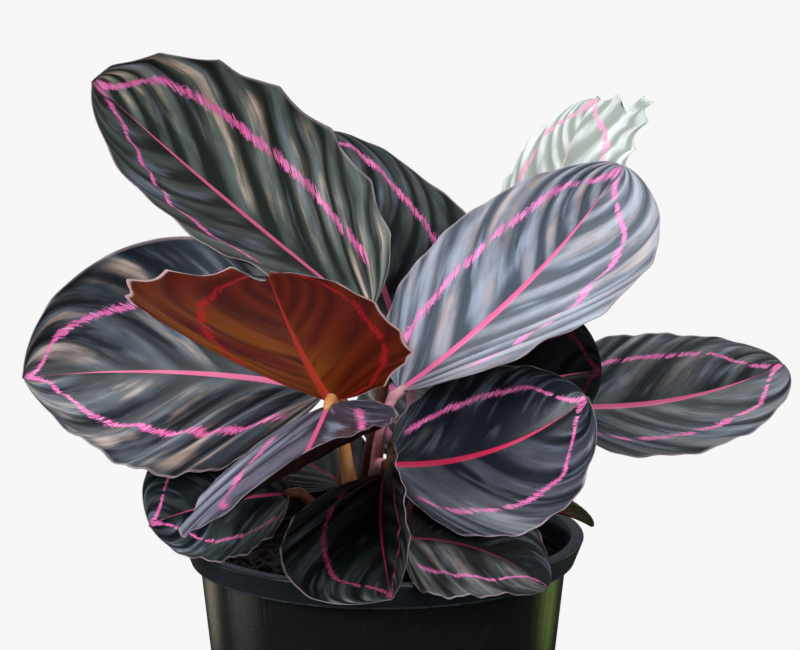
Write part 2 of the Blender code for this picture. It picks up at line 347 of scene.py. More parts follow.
@dataclass(frozen=True)
class UpperFinish:
    """The glossy upper side of a blade, with its feathered bands, ring and midrib.

    Colours are linear. A pair gives the left half's value and then the right half's. ring_at is the
    ring's place across the half blade and ring_width its width in millimetres. ring_close is
    where along the leaf it starts to draw in to the tip, ring_from and ring_to where it starts and
    stops, and ring_gaps how much of it is broken up. buff says how much of the bands is buff, and
    glints how much of them is covered by painted highlights: pale blue streaks of reflected light.
    tone is painted light and shade: how strong the bands are on each half, so that the half that
    faces the light is painted lighter and the other darker. grain is how strongly the fine veins
    show, dust how many specks lie on it, and seed shifts the random parts. The midrib's stripe is
    midrib_width millimetres wide and ends at midrib_end.
    """

    dark: Colour = (0.0045, 0.008, 0.011)
    band: Colour = (0.052, 0.070, 0.088)
    peach: Colour = (0.62, 0.43, 0.33)
    # painted highlight: the pale blue of the glints, reflected light painted into the leaf's colour
    painted_glint: Colour = (0.40, 0.47, 0.58)
    ring: Colour = (1.00, 0.16, 0.48)
    ring_pale: Colour = (1.00, 0.46, 0.76)
    midrib: Colour = (0.95, 0.15, 0.34)
    margin: Colour = (0.42, 0.31, 0.33)
    ring_at: Pair = (0.61, 0.61)
    ring_width: float = 3.6
    ring_close: Pair = (0.80, 0.80)
    ring_from: Pair = (0.08, 0.08)
    ring_to: Pair = (1.0, 1.0)
    ring_gaps: float = 0.36
    midrib_width: float = 2.6
    midrib_end: float = 0.90
    buff: Pair = (0.45, 0.45)
    glints: float = 0.4
    # painted light and shade: tone lightens the bands on one half and darkens them on the other
    tone: Pair = (1.0, 1.0)
    dust: float = 0.25
    grain: float = 0.45
    roughness: float = 0.30
    seed: float = 0.0

    def material(self, name: str) -> bpy.types.Material:
        """Paints the upper side: bands, buff streaks, glints, ring, midrib, margin and dust in turn.

        Args:
            name: the material's name.

        Returns:
            The material.
        """
        p = BladePainter(name, self.seed)
        feather = p.veins(along=70.0, across=2.2, detail=3, rough=0.6)
        broad = p.veins(along=11.0, across=1.5, layer=3.0, detail=3, rough=0.6)
        fine = p.veins(along=170.0, across=9.0, layer=7.0)
        glint_streaks = p.veins(along=16.0, across=2.0, layer=11.0)
        # painted light and shade: tone makes the bands of the lit half lighter than those of the shaded
        # half
        bands = p.times(self.band_mask(p, feather), p.half(self.tone))
        colour = p.mix(bands, self.dark, self.band)

        inner = p.times(p.ease(p.a, 0.05, 0.25), p.ease(p.a, 1.0, 0.88))
        streak = p.times(p.ease(broad, 0.48, 0.62), p.blend_sum(feather, 1.4, 0.3), bands, inner)
        colour = p.mix(p.times(streak, p.half(self.buff)), colour, self.peach)
        # painted highlight: glints of pale blue, reflected light painted along the veins over the bands
        painted_glint = p.times(p.ease(glint_streaks, 0.50, 0.72), p.blend_sum(fine, 0.8, 0.4), inner, self.glints)
        colour = p.mix(painted_glint, colour, self.painted_glint)

        pink = p.mix(p.ease(fine, 0.5, 0.68), self.ring, self.ring_pale)
        colour = p.mix(self.ring_mask(p), colour, pink)
        colour = p.mix(self.midrib_mask(p, fine), colour, self.midrib)
        colour = p.mix(p.times(p.ease(p.a, 0.975, 0.99), 0.7), colour, self.margin)
        spots = p.cells(p.vector(p.times(p.t, 60.0), p.times(p.v, 26.0)), scale=1.0)
        speck = p.times(p.ease(spots, 0.07, 0.03), p.ease(broad, 0.5, 0.6), self.dust)

        p.set("Base Color", p.mix(speck, colour, SPECK))
        p.set("Roughness", p.blend_sum(feather, 0.6 * self.grain, self.roughness - 0.3 * self.grain))
        p.set("Specular IOR Level", p.blend_sum(bands, 0.35, 0.27))
        p.bump(p.add(p.times(fine, 0.35), feather), 0.0006 * self.grain)
        return p.material

    def band_mask(self, p: BladePainter, feather: Socket) -> Socket:
        """Where the bands between the dark veins are.

        They follow the pleats' wave. The dark wedges between two bands are broadest at the midrib,
        because |v| is added to the wave. Slow noise then makes some bands paler than others.

        Args:
            p: the painter.
            feather: fine noise along the veins.

        Returns:
            The bands' strength.
        """
        wave = p.blend_sum(p.number(PLEAT_MAP), 0.5, p.blend_sum(p.a, 0.30, 0.40))
        slow = p.veins(along=7.0, across=2.5, layer=17.0, detail=3, rough=0.6)
        lines = p.blend_sum(feather, self.grain, 0.93 - self.grain / 2)
        return p.times(p.ease(wave, 0.10, 1.05), lines, p.blend_sum(slow, 3.4, -0.9))

    def ring_mask(self, p: BladePainter) -> Socket:
        """Where the ring is.

        Its middle wanders, steps from vein to vein and draws in to the tip. Each of its two borders
        is ragged along the fine veins, and it breaks up where slow noise is low and outside its ends.
        Millimetres become shares of the half blade through room, the half width there.

        Args:
            p: the painter.

        Returns:
            The ring's strength.
        """
        wander, jump = 0.10, 0.08
        step = p.noise(p.vector(p.math("FLOOR", p.times(p.q, 20.0)), 23.0))
        middle = p.add(p.half(self.ring_at), -(wander + jump) / 2)
        middle = p.blend_sum(p.steps(9.0, layer=21.0), wander, p.blend_sum(step, jump, middle))
        drawn_in = p.ease(p.t, p.half(self.ring_close), 1.0)
        middle = p.times(middle, p.blend_sum(drawn_in, -0.92, 1.0))

        room = p.math("MAXIMUM", p.math("DIVIDE", p.reach, p.math("MAXIMUM", p.a, 0.02)), NARROWEST_HALF)
        width = p.math("DIVIDE", self.ring_width, room)
        size = p.steps(17.0, layer=31.0)
        blob = p.noise(p.vector(p.times(p.t, 85.0), p.times(p.a, 34.0), 71.0))
        half = p.times(p.blend_sum(size, 1.2, 0.3), p.times(width, 0.5))
        half = p.add(half, p.times(p.subtract(blob, 0.5), width))
        ragged = p.times(width, 2.5)
        teeth_in, teeth_out = (
            p.times(p.subtract(p.steps(130.0, layer=layer, detail=2, rough=0.7), 0.5), ragged)
            for layer in (41.0, 51.0)
        )
        inside = p.subtract(p.subtract(middle, half), teeth_in)
        outside = p.add(p.add(middle, half), teeth_out)
        mask = p.times(
            p.ease(p.subtract(p.a, inside), *SOFT_BORDER), p.ease(p.subtract(outside, p.a), *SOFT_BORDER)
        )
        begun = p.ease(p.subtract(p.t, p.half(self.ring_from)), 0.0, 0.05)
        ended = p.ease(p.subtract(p.half(self.ring_to), p.t), -0.005, 0.02)
        breaks = p.ease(size, self.ring_gaps - 0.03, self.ring_gaps + 0.03)
        comb = p.veins(along=150.0, across=6.0, layer=61.0, detail=1)
        return p.times(mask, begun, ended, breaks, p.ease(comb, 0.32, 0.42))

    def midrib_mask(self, p: BladePainter, fine: Socket) -> Socket:
        """Where the midrib's stripe is: its half width in millimetres thins to nothing at midrib_end."""
        taper = p.math("POWER", p.ease(p.t, self.midrib_end + 0.02, 0.25), 0.7)
        half = p.times(taper, p.blend_sum(fine, 0.4, self.midrib_width / 2 - 0.2))
        return p.ease(p.subtract(half, p.reach), -0.18, 0.18)


@dataclass(frozen=True)
class UnderFinish:
    """The underside of a blade: satin, veined, in two tones, with the ring showing through faintly.

    glow is the colour of the thin bands that the light comes through, glowing says how much, and
    glow_at is the t and v of its brightest place. light is the strength of the light that comes
    through the whole blade, given off by its underside.
    """

    deep: Colour = (0.030, 0.004, 0.008)
    tone: Colour = (0.085, 0.010, 0.018)
    glow: Colour = (0.14, 0.02, 0.02)
    glowing: float = 0.3
    glow_at: Pair = (0.5, 0.0)
    light: float = 0.0
    ring: Colour = (0.22, 0.015, 0.035)
    ring_at: Pair = (0.61, 0.61)
    ring_strength: float = 0.5
    midrib: Colour = (0.22, 0.045, 0.035)
    margin: Colour = (0.34, 0.16, 0.17)
    roughness: float = 0.5
    seed: float = 0.0

    def material(self, name: str) -> bpy.types.Material:
        """Paints the underside, along the same vein lines as the upper side.

        Args:
            name: the material's name.

        Returns:
            The material.
        """
        p = BladePainter(name, self.seed)
        feather = p.veins(along=60.0, across=2.0, detail=3, rough=0.6)
        broad = p.veins(along=7.0, across=1.4, layer=5.0, rough=0.55)
        fine = p.veins(along=170.0, across=12.0, layer=7.0)
        wave = p.blend_sum(p.number(PLEAT_MAP), 0.5, 0.5)
        colour = p.mix(p.times(wave, p.blend_sum(feather, 0.9, 0.2)), self.deep, self.tone)
        away = p.vector(p.subtract(p.t, self.glow_at[0]), p.times(p.subtract(p.v, self.glow_at[1]), 0.55))
        near = p.ease(p.node("VectorMath", {0: away}, operation="LENGTH").outputs["Value"], 0.55, 0.05)
        lit = p.times(p.ease(broad, 0.36, 0.60), p.blend_sum(feather, 0.9, 0.4), near)
        colour = p.mix(p.times(lit, self.glowing), colour, self.glow)
        colour = p.mix(self.ring_mask(p), colour, self.ring)
        rib = p.ease(p.subtract(p.times(p.subtract(1.02, p.t), 1.9), p.reach), -0.2, 0.3)
        colour = p.mix(p.times(rib, 0.9), colour, self.midrib)
        colour = p.mix(p.times(p.ease(p.a, 0.965, 0.985), 0.85), colour, self.margin)
        p.set("Base Color", colour)
        if self.light > 0:
            p.set("Emission Color", colour)
            p.set("Emission Strength", self.light)
        p.set("Roughness", self.roughness)
        p.set("Specular IOR Level", 0.35)
        p.bump(p.add(fine, feather), 0.0002)
        return p.material

    def ring_mask(self, p: BladePainter) -> Socket:
        """Where the ring shows through: a ragged line round a share of the half width, with gaps.

        Args:
            p: the painter.

        Returns:
            The ring's strength.
        """
        wander, teeth = 0.14, 0.20
        middle = p.add(p.half(self.ring_at), -(wander + teeth) / 2)
        middle = p.blend_sum(p.steps(9.0, layer=21.0), wander, middle)
        middle = p.blend_sum(p.steps(110.0, layer=41.0), teeth, middle)
        off = p.math("ABSOLUTE", p.subtract(p.a, middle))
        return p.times(
            p.ease(off, 0.036, 0.014), p.ease(p.steps(13.0, layer=31.0), 0.30, 0.46), self.ring_strength
        )


@dataclass(frozen=True)
class StalkFinish:
    """A stalk: streaked lengthwise, paler at its head, with fine down."""

    low: Colour
    high: Colour
    fleck: Colour

    def material(self, name: str) -> bpy.types.Material:
        """Paints the stalk by the share of its length and the angle round it.

        Args:
            name: the material's name.

        Returns:
            The material.
        """
        p = Painter(name)
        t, turn, _ = p.attribute(BLADE_MAP)
        streak = p.noise(p.vector(p.times(t, 2.0), p.times(turn, 30.0)), detail=3, rough=0.6)
        patch = p.noise(p.place(), scale=420.0, detail=2)
        colour = p.mix(p.times(p.ease(t, 0.0, 0.9), p.blend_sum(streak, 0.8, 0.4)), self.low, self.high)
        colour = p.mix(p.times(p.ease(patch, 0.55, 0.7), 0.5), colour, self.fleck)
        p.set("Base Color", colour)
        p.set("Roughness", p.blend_sum(streak, 0.2, 0.32))
        p.bump(p.add(streak, p.times(patch, 0.4)), 0.0002)
        return p.material


BROWN_STALK = StalkFinish((0.16, 0.030, 0.025), (0.34, 0.10, 0.07), (0.50, 0.28, 0.20))
PINK_STALK = StalkFinish((0.72, 0.22, 0.24), (0.92, 0.42, 0.50), (0.95, 0.80, 0.68))
AMBER_STALK = StalkFinish((0.88, 0.34, 0.11), (0.93, 0.43, 0.14), (0.95, 0.60, 0.34))
DARK_STALK = StalkFinish((0.10, 0.026, 0.014), (0.20, 0.050, 0.026), (0.30, 0.14, 0.09))


@dataclass(frozen=True)
class PlasticFinish:
    """Thin black moulded plastic with scuffs, fine flow lines and a little dust.

    film is a painted reflection: a blue-grey sheen on the rim above the height rim_reflection_from. edge is
    a
    painted highlight: a pale line along the lower edge of the rim, at the height edge_highlight_at.
    """

    black: Colour = (0.0095, 0.0098, 0.0098)
    worn: Colour = (0.050, 0.052, 0.050)
    rim_reflection: Colour = (0.026, 0.034, 0.040)
    rim_reflection_from: float = 0.1245
    edge: Colour = (0.14, 0.17, 0.18)
    edge_highlight_at: float = 0.1258
    roughness: float = 0.24

    def material(self, name: str) -> bpy.types.Material:
        """Paints the plastic.

        Args:
            name: the material's name.

        Returns:
            The material.
        """
        p = Painter(name)
        place = p.place()
        x, y, z = p.split(place)
        flow = p.vector(p.times(p.math("ARCTAN2", y, x), 28.0), p.times(z, 6.0))
        flow = p.noise(flow, detail=3, rough=0.6)
        scuff = p.noise(place, scale=70.0, detail=6, rough=0.7)
        grain = p.noise(place, scale=900.0, detail=2)
        dusty = p.times(p.ease(scuff, 0.50, 0.80), p.blend_sum(flow, 0.7, 0.0))
        # painted reflection: the rim above rim_reflection_from is painted blue-grey, the sky reflected on
        # it
        on_rim = p.times(p.ease(z, self.rim_reflection_from, self.rim_reflection_from + 0.003), 0.8)
        colour = p.mix(on_rim, self.black, self.rim_reflection)
        # painted highlight: a pale line along the rim's lower edge at edge_highlight_at, broken along the
        # flow lines
        off = p.math("ABSOLUTE", p.subtract(z, self.edge_highlight_at))
        edge_highlight_mask = p.times(p.ease(off, 0.0008, 0.0002), p.blend_sum(flow, 1.2, -0.15))
        colour = p.mix(edge_highlight_mask, colour, self.edge)
        p.set("Base Color", p.mix(p.times(dusty, 0.35), colour, self.worn))
        p.set("Roughness", p.add(p.times(dusty, 0.25), p.blend_sum(flow, 0.14, self.roughness - 0.07)))
        p.set("Specular IOR Level", 0.5)
        p.bump(p.add(p.times(grain, 0.3), p.add(flow, scuff)), 0.00012)
        return p.material


@dataclass(frozen=True)
class SoilFinish:
    """Moist peat: crumbs from near black to brown."""

    peat: Colour = (0.006, 0.004, 0.003)
    crumb: Colour = (0.045, 0.027, 0.017)
    fibre: Colour = (0.16, 0.10, 0.06)

    def material(self, name: str) -> bpy.types.Material:
        """Paints the soil by its place.

        Args:
            name: the material's name.

        Returns:
            The material.
        """
        p = Painter(name)
        place = p.place()
        crumbs = p.noise(place, scale=380.0, detail=5, rough=0.65)
        patches = p.noise(place, scale=60.0, detail=3)
        bits = p.cells(place, scale=420.0)
        brown = p.times(p.ease(crumbs, 0.4, 0.65), p.blend_sum(patches, 1.0, 0.2))
        colour = p.mix(brown, self.peat, self.crumb)
        colour = p.mix(p.times(p.ease(bits, 0.16, 0.08), p.ease(patches, 0.5, 0.6)), colour, self.fibre)
        p.set("Base Color", colour)
        p.set("Roughness", 0.92)
        p.set("Specular IOR Level", 0.25)
        p.bump(p.add(crumbs, p.times(bits, 0.5)), 0.0012)
        return p.material


# ---------------------------------------------------------------------------------------------
# Leaves
# ---------------------------------------------------------------------------------------------

BLADE_THICKNESS = 0.0005
BASE_HALF_WIDTH = 0.0015
TIP_HALF_WIDTH = 0.0006
CREST_POWER = 8
FRILLS = 11
TIP_ROWS = 8
CORNER_LENGTH = 0.06
MARGIN_THINNING = 0.45
EDGE_CROWDING = 0.82
RIB_HEIGHT = 0.0013
RIB_WIDTH = 0.0012
GROOVE_DEPTH = 0.0004
GROOVE_WIDTH = 0.0020
HEAD_GAP = 0.0007
SHEET_ROWS = 12
SHEET_COLUMNS = 7


@dataclass(frozen=True)
class Blade:
    """One blade, as it grows from its base to its tip.

    heading is the compass direction of the midrib seen from above, 0 along +X and 90 along +Y. rise
    lifts the midrib at the base, and arch is how much that angle changes by the tip. sweep turns the
    heading by the tip. roll tips the blade about its midrib, left side up, and twist adds to it by
    the tip. left and right are the half widths. fold raises a half at the midrib, and curl adds to it
    by the margin. lean under 1 puts the widest place nearer the base, and a lower fullness gives
    blunter ends. crest_right widens the right half at the tip.

    The rest is seen only up close: pleats waves run along the side veins, pleat high. scallop_left
    and scallop_right are the depth of the scallops between pointed vein ends, with scallops of them
    round the outline, moved on by scallop_shift of one. corner draws the left margin out to a point
    at corner_at. frill is the depth of the spikes along the right margin near the tip, and crown the
    height of the three at the end of the right half. ruffle lifts and drops the margin in waves.
    """

    heading: float
    rise: float
    length: float
    left: float
    right: float
    arch: float = -35
    sweep: float = 0
    roll: float = 0
    twist: float = 0
    fold_left: float = 8
    fold_right: float = 8
    curl_left: float = -6
    curl_right: float = -6
    lean: float = 0.85
    fullness: float = 0.55
    crest_right: float = 0.0
    pleats: float = 8
    pleat: float = 0.0006
    scallops: float = 9
    scallop_left: float = 0.0
    scallop_right: float = 0.0
    scallop_shift: float = 0.0
    corner: float = 0.0
    corner_at: float = 0.34
    frill: float = 0.0
    crown: float = 0.0
    waves: float = 4
    ruffle: float = 0.0007
    rows: int = 129
    columns: int = 89

    def half_width(self, t: np.ndarray, limit: float, crest: float = 0.0) -> np.ndarray:
        """Half width at t: the limit times (4 s (1 - s)) to the fullness, with s = t to the lean.

        Args:
            t: share of the length.
            limit: the half width at the widest place.
            crest: how much wider the tip is.

        Returns:
            The half width at each t.
        """
        s = np.clip(t, 0, 1) ** self.lean
        swell = limit * (4 * s * (1 - s)) ** self.fullness
        return swell + BASE_HALF_WIDTH * (1 - t) + TIP_HALF_WIDTH * t + crest * t**CREST_POWER

    def surface(self, rows: int, across: np.ndarray) -> tuple[np.ndarray, np.ndarray, np.ndarray]:
        """The smooth middle surface, with its base at the origin and the heading applied.

        The midrib is the length times the integral of a direction whose azimuth grows as sweep t and
        whose pitch grows as arch t. A half leaves it along the side direction, turned by roll + twist
        t about the midrib, and lifted by fold + curl |v|.

        Args:
            rows: points along the leaf, closer together at both ends.
            across: v of each point across it, from minus one to one.

        Returns:
            The points, t of each row, and how far each point reaches from the midrib.
        """
        t = (1 - np.cos(np.pi * np.linspace(0, 1, rows))) / 2
        azimuth = np.radians(self.heading + self.sweep * t)
        pitch = np.radians(self.rise + self.arch * t)
        flat = np.cos(pitch)
        forward = np.stack([flat * np.cos(azimuth), flat * np.sin(azimuth), np.sin(pitch)], axis=-1)
        steps = np.diff(t)[:, None] * (forward[1:] + forward[:-1]) / 2
        midrib = self.length * np.vstack([np.zeros(3), np.cumsum(steps, axis=0)])
        level = np.stack([-np.sin(azimuth), np.cos(azimuth), np.zeros(rows)], axis=-1)
        upright = np.cross(forward, level)
        turn = np.radians(self.roll + self.twist * t)[:, None]
        side = (np.cos(turn) * level + np.sin(turn) * upright)[:, None, :]
        up = (np.cos(turn) * upright - np.sin(turn) * level)[:, None, :]

        on_left = across > 0
        a = np.abs(across)
        right = self.half_width(t, self.right, self.crest_right)
        reach = np.where(on_left, self.half_width(t, self.left)[:, None], right[:, None])
        reach = reach * a
        fold = np.where(on_left, self.fold_left + self.curl_left * a, self.fold_right + self.curl_right * a)
        lift = np.radians(fold)[None, :, None]
        outward = np.sign(across)[None, :, None] * np.cos(lift) * side
        points = midrib[:, None, :] + reach[:, :, None] * (outward + np.sin(lift) * up)
        return points, t, reach

    def margin_shift(self, t: np.ndarray, left: bool) -> np.ndarray:
        """How far the margin stands out from the smooth outline, at each t.

        Scallops are 0.4 - |sin(pi (n s + shift))|, with s running from 0 at the base to 1 at the tip
        evenly round the outline, so that they come to points. The frill is the same, finer, and grows
        towards the tip. The corner falls off as e to the minus distance along the leaf.

        Args:
            t: share of the length.
            left: whether it is the left margin.

        Returns:
            The distance in metres.
        """
        around = np.arccos(1 - 2 * t) / np.pi
        turns = self.scallops * around + self.scallop_shift
        depth = self.scallop_left if left else self.scallop_right
        shift = depth * ease(t, 0.0, 0.12) * (0.4 - np.abs(np.sin(np.pi * turns)))
        if left:
            return shift + self.corner * np.exp(-np.abs(t - self.corner_at) / CORNER_LENGTH)
        return shift + self.frill * ease(t, 0.45, 0.8) * (0.6 - np.abs(np.sin(np.pi * FRILLS * around)))

    def shape_margin(self, points: np.ndarray, t: np.ndarray, across: np.ndarray) -> np.ndarray:
        """Moves both margins out or in, in the plane of the blade, and the rest by |v| to the fourth.

        The crown's spikes stand forward from the end of the right half, where sin(2 pi a) is zero.

        Args:
            points: the smooth middle surface.
            t: share of the length of each row.
            across: v of each column.

        Returns:
            The shaped surface.
        """
        normals = self.normals(points)
        middle = points[:, points.shape[1] // 2]
        shaped = points.copy()
        for left, edge in ((True, -1), (False, 0)):
            margin = points[:, edge]
            outward = unit(np.cross(unit(np.gradient(margin, axis=0)), normals[:, edge]))
            outward = outward * np.sign(np.sum(outward * (margin - middle)))
            weight = np.where((across > 0) == left, across**4, 0.0)
            shaped += weight[None, :, None] * (self.margin_shift(t, left)[:, None] * outward)[:, None, :]
        a = np.abs(across)
        spikes = np.where(across < 0, (1 - np.abs(np.sin(2 * np.pi * a))) * (0.25 + 0.75 * a), 0.0)
        rise = self.crown * ease(t, 0.80, 1.0)[:, None] * spikes
        return shaped + rise[:, :, None] * unit(middle[-1] - middle[-1 - TIP_ROWS])

    @staticmethod
    def vein(t: np.ndarray, a: np.ndarray) -> np.ndarray:
        """The vein coordinate q = t - 0.34 a - 0.16 a squared, the same all along one side vein."""
        return t - VEIN_SWEEP * a - VEIN_BEND * a**2

    def base(self, node: str) -> np.ndarray:
        """Where the base is: the plain sheet's box is centred on the frame node's box."""
        sheet, _, _ = self.surface(SHEET_ROWS, np.linspace(-1, 1, SHEET_COLUMNS))
        low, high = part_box(node)
        corners = sheet.reshape(-1, 3)
        return (np.array(low) + np.array(high)) / 2 - (corners.min(0) + corners.max(0)) / 2

    def pleat_wave(self, t: np.ndarray, across: np.ndarray) -> np.ndarray:
        """The pleats' wave, from minus one to one: a cosine of the vein coordinate.

        Two slow sines shift its phase, differently on each half, so that the pleats are uneven.

        Args:
            t: share of the length, as a column.
            across: v of each point across.

        Returns:
            The wave at each point.
        """
        q = self.vein(t, np.abs(across))
        shift = self.heading + 2.0 * (across > 0)
        bend = 0.35 * np.sin(7.0 * q + shift) + 0.09 * np.sin(17.0 * q + 2.0 * shift)
        return np.cos(2 * np.pi * (self.pleats * q + bend))

    def relief(self, t: np.ndarray, a: np.ndarray, reach: np.ndarray, wave: np.ndarray) -> np.ndarray:
        """Height of the pleats, the ruffled margin and the groove over the midrib.

        The pleats grow out of the midrib and die down towards the margin. The ruffle is two slower
        waves that grow as |v| cubed. The groove is a bell curve of the reach.

        Args:
            t: share of the length, as a column.
            a: share of the half width.
            reach: metres from the midrib.
            wave: the pleats' wave.

        Returns:
            The height along the surface's normal, in metres.
        """
        q = self.vein(t, a)
        fade = ease(t, 0.0, 0.15) * ease(1 - t, 0.0, 0.12)
        pleats = self.pleat * wave * ease(a, 0.03, 0.35) * (1 - 0.75 * ease(a, 0.70, 1.0))
        swing = 2 * np.pi * self.waves * q + self.heading
        ruffle = self.ruffle * (np.cos(swing) + 0.5 * np.cos(2.3 * swing)) * a**3
        return fade * (pleats + ruffle) - GROOVE_DEPTH * bell(reach, GROOVE_WIDTH)

    def build(self, name: str, node: str) -> bpy.types.Mesh:
        """The blade as a closed sheet: upper side, underside with a raised midrib, and the rim.

        Args:
            name: the mesh's name.
            node: the frame's node that it stands for.

        Returns:
            The mesh, whose faces have material 0 above and on the rim, and 1 beneath.
        """
        crowd = EDGE_CROWDING * np.pi / 2
        across = np.sin(np.linspace(-1, 1, self.columns) * crowd) / math.sin(crowd)
        middle, t, reach = self.surface(self.rows, across)
        middle = self.shape_margin(middle, t, across)
        a = np.abs(across)
        normals = self.normals(middle)
        wave = self.pleat_wave(t[:, None], across)
        middle = middle + self.relief(t[:, None], a, reach, wave)[:, :, None] * normals
        normals = self.normals(middle)
        thin = (BLADE_THICKNESS / 2) * (1 - MARGIN_THINNING * a**6)[None, :, None]
        rib = (RIB_HEIGHT * bell(reach, RIB_WIDTH) * (1 - t[:, None]) ** 0.7)[:, :, None]
        top = middle + thin * normals
        under = middle - (thin + rib) * normals
        points = np.vstack([top.reshape(-1, 3), under.reshape(-1, 3)]) + self.base(node)

        count = self.rows * self.columns
        index = np.arange(count).reshape(self.rows, self.columns)
        loop = np.concatenate([index[0, :], index[1:, -1], index[-1, -2::-1], index[-2:0:-1, 0]])
        after = np.roll(loop, -1)
        rim = np.stack([loop, after, after + count, loop + count], axis=-1)
        upper = grid_faces(self.rows, self.columns)
        lower = grid_faces(self.rows, self.columns, first=count, flip=True)
        faces = np.vstack([upper, lower, rim])
        parts = np.concatenate([np.zeros(len(upper)), np.ones(len(lower)), np.zeros(len(rim))])
        mesh = new_mesh(name, points, faces.tolist(), parts)
        spread = np.broadcast_arrays(t[:, None], across[None, :], reach * 1000)
        flat = np.stack(spread, axis=-1).reshape(-1, 3)
        store(mesh, BLADE_MAP, np.vstack([flat, flat]))
        store(mesh, PLEAT_MAP, np.concatenate([wave.ravel(), wave.ravel()]))
        return mesh

    @staticmethod
    def normals(points: np.ndarray) -> np.ndarray:
        """Unit normals of a grid, the cross product of its two directions."""
        along = np.gradient(points, axis=0)
        across = np.gradient(points, axis=1)
        return unit(np.cross(along, across))


@dataclass(frozen=True)
class Stalk:
    """A petiole: a round stalk from its socket in the soil to its blade.

    stem is where it leaves the soil. It rises straight up first and comes into the blade along the
    midrib, through a short swollen knee. sunk is how deep its foot goes, tuck how far its head runs
    on under the midrib, and foot_swell and knee_swell how much thicker it is at those places.
    """

    stem: Pair
    foot_radius: float = 0.0036
    head_radius: float = 0.0018
    knee: float = 0.004
    sunk: float = 0.006
    tuck: float = 0.0025
    foot_swell: float = 0.18
    knee_swell: float = 0.22
    rows: int = 40
    sides: int = 16

    def path(self, base: np.ndarray, blade: Blade, soil_top: float) -> np.ndarray:
        """Centre line: a cubic Bezier curve from the soil to the knee, then straight to the blade.

        Args:
            base: the blade's base.
            blade: the blade, for its direction there.
            soil_top: height of the soil.

        Returns:
            Points from the foot to the head.
        """
        heading, rise = math.radians(blade.heading), math.radians(blade.rise)
        flat = math.cos(rise)
        forward = np.array([flat * math.cos(heading), flat * math.sin(heading), math.sin(rise)])
        foot = np.array([*self.stem, soil_top])
        knee = base - (self.knee + HEAD_GAP) * forward
        reach = np.linalg.norm(knee - foot)
        lean_in = 0.15 * forward + np.array([0, 0, 0.12])
        guides = [foot, foot + np.array([0, 0, 0.4 * reach]), knee - reach * lean_in, knee]
        u = np.linspace(0, 1, self.rows)[:, None]
        weights = [(1 - u) ** 3, 3 * (1 - u) ** 2 * u, 3 * (1 - u) * u**2, u**3]
        rising = sum(weight * guide for weight, guide in zip(weights, guides))
        head = base + self.tuck * forward
        ends = [knee + share * (head - knee) for share in (0.33, 0.66, 1.0)]
        return np.vstack([foot - np.array([0, 0, self.sunk]), rising, *ends])

    def build(self, name: str, base: np.ndarray, blade: Blade, soil_top: float) -> bpy.types.Mesh:
        """A tube along the path: the radius falls evenly from foot to head, and swells at the knee.

        Args:
            name: the mesh's name.
            base: the blade's base.
            blade: the blade.
            soil_top: height of the soil.

        Returns:
            The mesh, closed at both ends.
        """
        path = self.path(base, blade, soil_top)
        share = np.linspace(0, 1, len(path))
        radius = self.foot_radius + (self.head_radius - self.foot_radius) * share
        swell = self.knee_swell * bell(share - 0.93, 0.05) + self.foot_swell * bell(share, 0.10)
        radius = radius * (1 + swell)
        radius[-1] *= 0.6
        tangent = unit(np.gradient(path, axis=0))
        heading = math.radians(blade.heading)
        level = np.array([-math.sin(heading), math.cos(heading), 0])
        side = unit(level - (tangent @ level)[:, None] * tangent)
        up = np.cross(tangent, side)
        turn = np.linspace(0, 2 * np.pi, self.sides, endpoint=False)
        ring = np.cos(turn)[:, None] * side[:, None, :] + np.sin(turn)[:, None] * up[:, None, :]
        points = path[:, None, :] + radius[:, None, None] * ring
        faces = grid_faces(len(path), self.sides, flip=True, wrap=True).tolist()
        last = (len(path) - 1) * self.sides
        faces += [list(range(self.sides))[::-1], list(range(last, last + self.sides))]
        mesh = new_mesh(name, points.reshape(-1, 3), faces)
        spread = np.broadcast_arrays(share[:, None], (turn / (2 * np.pi))[None, :], 0.0)
        store(mesh, BLADE_MAP, np.stack(spread, axis=-1).reshape(-1, 3))
        return mesh


@dataclass(frozen=True)
class Leaf:
    """A blade on its stalk, with their finishes."""

    name: str
    blade: Blade
    stalk: Stalk
    upper: UpperFinish = UpperFinish()
    under: UnderFinish = UnderFinish()
    stem_finish: StalkFinish = DARK_STALK
    slot: Slot = Slot.BLADE

    def dress(self, soil_top: float) -> None:
        """Builds both pieces over the frame's nodes and gives them their finishes.

        Args:
            soil_top: height of the soil.
        """
        node = "blade_" + self.name
        blade = self.blade.build("leaf_" + self.name, node)
        finishes = [self.upper.material("upper_" + self.name), self.under.material("under_" + self.name)]
        add_piece(blade, finishes, [node])
        base = self.blade.base(node)
        stalk = self.stalk.build("stalk_" + self.name, base, self.blade, soil_top)
        finish = self.stem_finish.material("stalk_" + self.name)
        add_piece(stalk, [finish], ["petiole_" + self.name])


